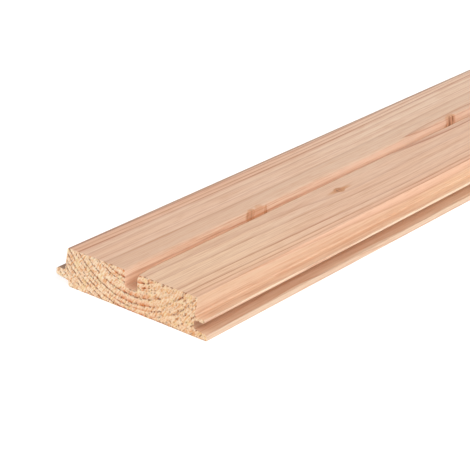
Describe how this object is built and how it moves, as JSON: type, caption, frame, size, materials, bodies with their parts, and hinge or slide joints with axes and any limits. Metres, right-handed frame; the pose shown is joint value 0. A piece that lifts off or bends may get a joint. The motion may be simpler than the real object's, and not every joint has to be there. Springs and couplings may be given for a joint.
{
  "type": "rhombus cladding board",
  "caption": "Planed softwood cladding board with two rhombus faces beside a shadow groove, a tongue on one edge and a groove on the other, for a wall clad in interlocking boards.",
  "frame": {"origin": "middle of the back, under the middle of the width over the tongue and the lower lip", "axes": "+X along the board, +Y across it towards the tongue, +Z from the back up to the rhombus faces"},
  "size_m": [3, 0.121, 0.026],
  "materials": {
    "planed_douglas_fir": "planed, unfinished, with sawn ends"
  },
  "bodies": {
    "root": {"cladding_board": "planed_douglas_fir"}
  },
  "joints": []
}
